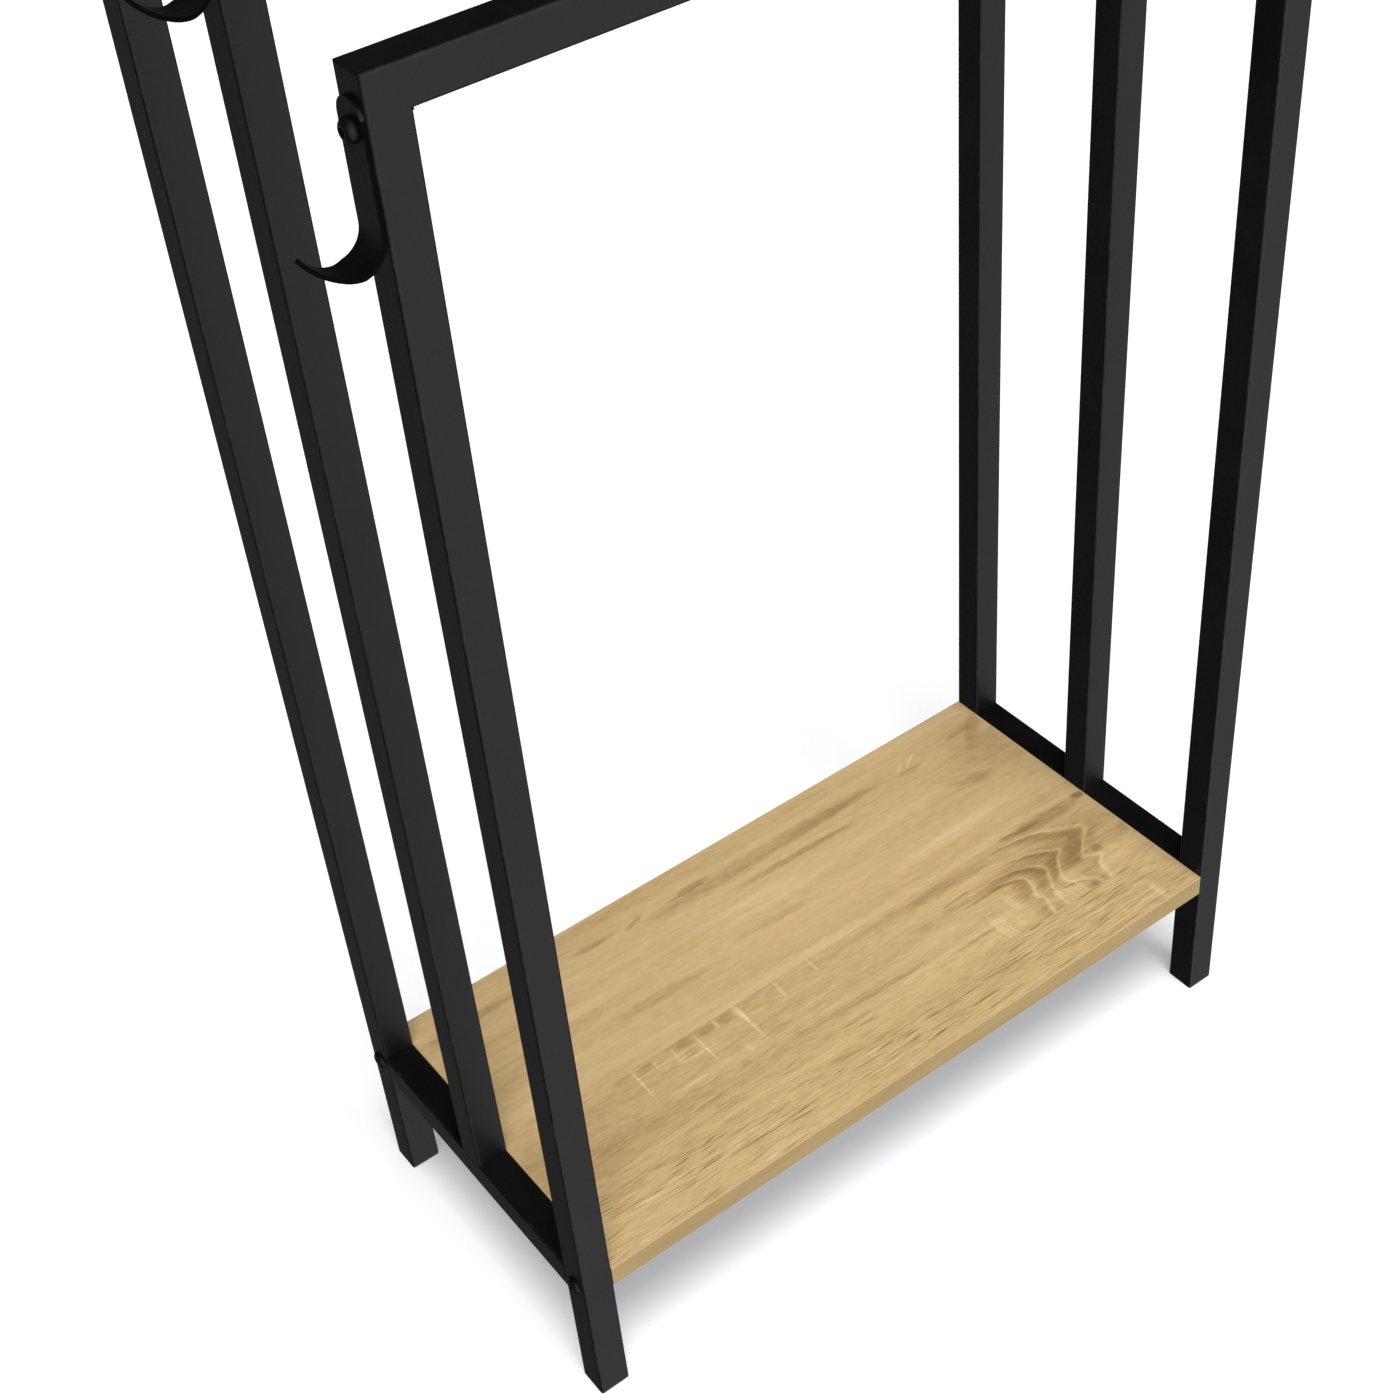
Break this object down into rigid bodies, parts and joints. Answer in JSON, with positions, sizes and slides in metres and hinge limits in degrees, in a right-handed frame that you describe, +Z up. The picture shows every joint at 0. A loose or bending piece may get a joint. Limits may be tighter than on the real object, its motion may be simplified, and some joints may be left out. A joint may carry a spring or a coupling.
{
  "type": "valet stand",
  "caption": "Free-standing stepped stand of square steel tube, with bars to hang clothes or towels on, side hooks and a low oak-look shelf.",
  "frame": {"origin": "centre of the footprint, on the floor", "axes": "+X to the stand's right as seen from the front, front faces -Y, +Z up"},
  "size_m": [0.5892, 0.24, 0.99],
  "materials": {
    "black_powder_coat": "satin black powder coat with a fine grain",
    "black_screw_finish": "black-coated steel screws, slightly glossier than the tube",
    "oak_decor_board": "pale sawn-oak melamine decor, matt, grain along the length",
    "oak_edge_band": "plain oak-coloured edging strip, matt",
    "black_plastic": "moulded black polyethylene",
    "zinc_plated_steel": "bright zinc plate"
  },
  "bodies": {
    "root": {"front_leg_left": "black_powder_coat", "front_leg_right": "black_powder_coat", "front_top_bar": "black_powder_coat", "hook_bush_front_left": "zinc_plated_steel", "hook_bush_front_right": "zinc_plated_steel", "hook_bush_middle_left": "zinc_plated_steel", "hook_bush_middle_right": "zinc_plated_steel", "hook_bush_rear_left": "zinc_plated_steel", "hook_bush_rear_right": "zinc_plated_steel", "hook_front_left": "black_powder_coat", "hook_front_right": "black_powder_coat", "hook_middle_left": "black_powder_coat", "hook_middle_right": "black_powder_coat", "hook_rear_left": "black_powder_coat", "hook_rear_right": "black_powder_coat", "hook_screw_front_left": "black_screw_finish", "hook_screw_front_right": "black_screw_finish", "hook_screw_middle_left": "black_screw_finish", "hook_screw_middle_right": "black_screw_finish", "hook_screw_rear_left": "black_screw_finish", "hook_screw_rear_right": "black_screw_finish", "leg_plug_front_left": "black_plastic", "leg_plug_front_right": "black_plastic", "leg_plug_rear_left": "black_plastic", "leg_plug_rear_right": "black_plastic", "middle_top_bar": "black_powder_coat", "middle_upright_left": "black_powder_coat", "middle_upright_right": "black_powder_coat", "rear_leg_left": "black_powder_coat", "rear_leg_right": "black_powder_coat", "rear_top_bar": "black_powder_coat", "shelf_board": "oak_decor_board", "shelf_bolt_front_left": "black_screw_finish", "shelf_bolt_front_right": "black_screw_finish", "shelf_bolt_rear_left": "black_screw_finish", "shelf_bolt_rear_right": "black_screw_finish", "shelf_edge_front": "oak_edge_band", "shelf_edge_left": "oak_edge_band", "shelf_edge_rear": "oak_edge_band", "shelf_edge_right": "oak_edge_band", "shelf_insert_front_left": "zinc_plated_steel", "shelf_insert_front_right": "zinc_plated_steel", "shelf_insert_rear_left": "zinc_plated_steel", "shelf_insert_rear_right": "zinc_plated_steel", "side_rail_left": "black_powder_coat", "side_rail_right": "black_powder_coat"}
  },
  "joints": []
}
